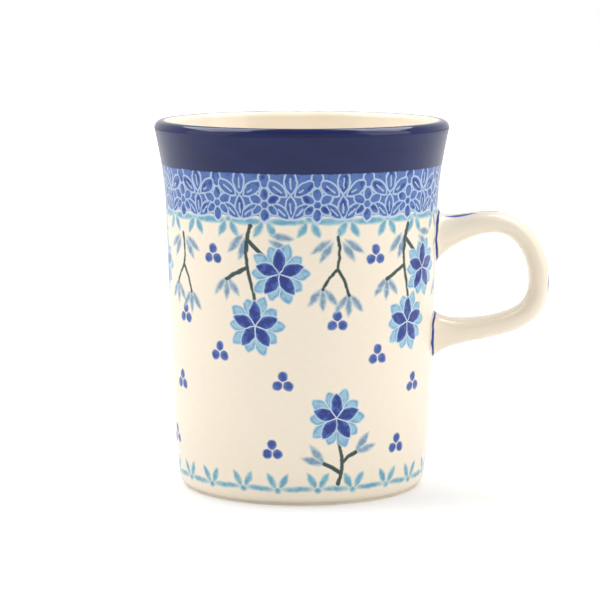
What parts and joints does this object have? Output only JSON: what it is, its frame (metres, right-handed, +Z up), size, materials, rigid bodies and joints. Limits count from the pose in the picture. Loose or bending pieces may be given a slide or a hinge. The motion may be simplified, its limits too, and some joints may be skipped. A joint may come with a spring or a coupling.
{
  "type": "stoneware mug",
  "caption": "Straight-sided stoneware mug with a flared lip, a luted strap handle, a cobalt band and a stamped flower pattern under clear glaze.",
  "frame": {"origin": "centre of the foot ring's underside, on the table", "axes": "+Z up along the vessel's axis, +X from the axis towards the handle, +Y across the handle's strap"},
  "size_m": [0.1077, 0.08, 0.1],
  "materials": {
    "fired_clay": "matte, fine grained, pale buff",
    "joining_slip": "matte, smoothed by hand",
    "clear_glaze": "gloss, warm cream over the clay",
    "cobalt_glaze": "gloss, deep cobalt blue"
  },
  "bodies": {
    "root": {"vessel_body": "fired_clay", "handle": "fired_clay", "upper_slip_joint": "joining_slip", "lower_slip_joint": "joining_slip", "outer_glaze": "clear_glaze", "rim_glaze": "cobalt_glaze", "liner_glaze": "clear_glaze", "handle_glaze": "clear_glaze", "foot_glaze": "clear_glaze"}
  },
  "joints": []
}
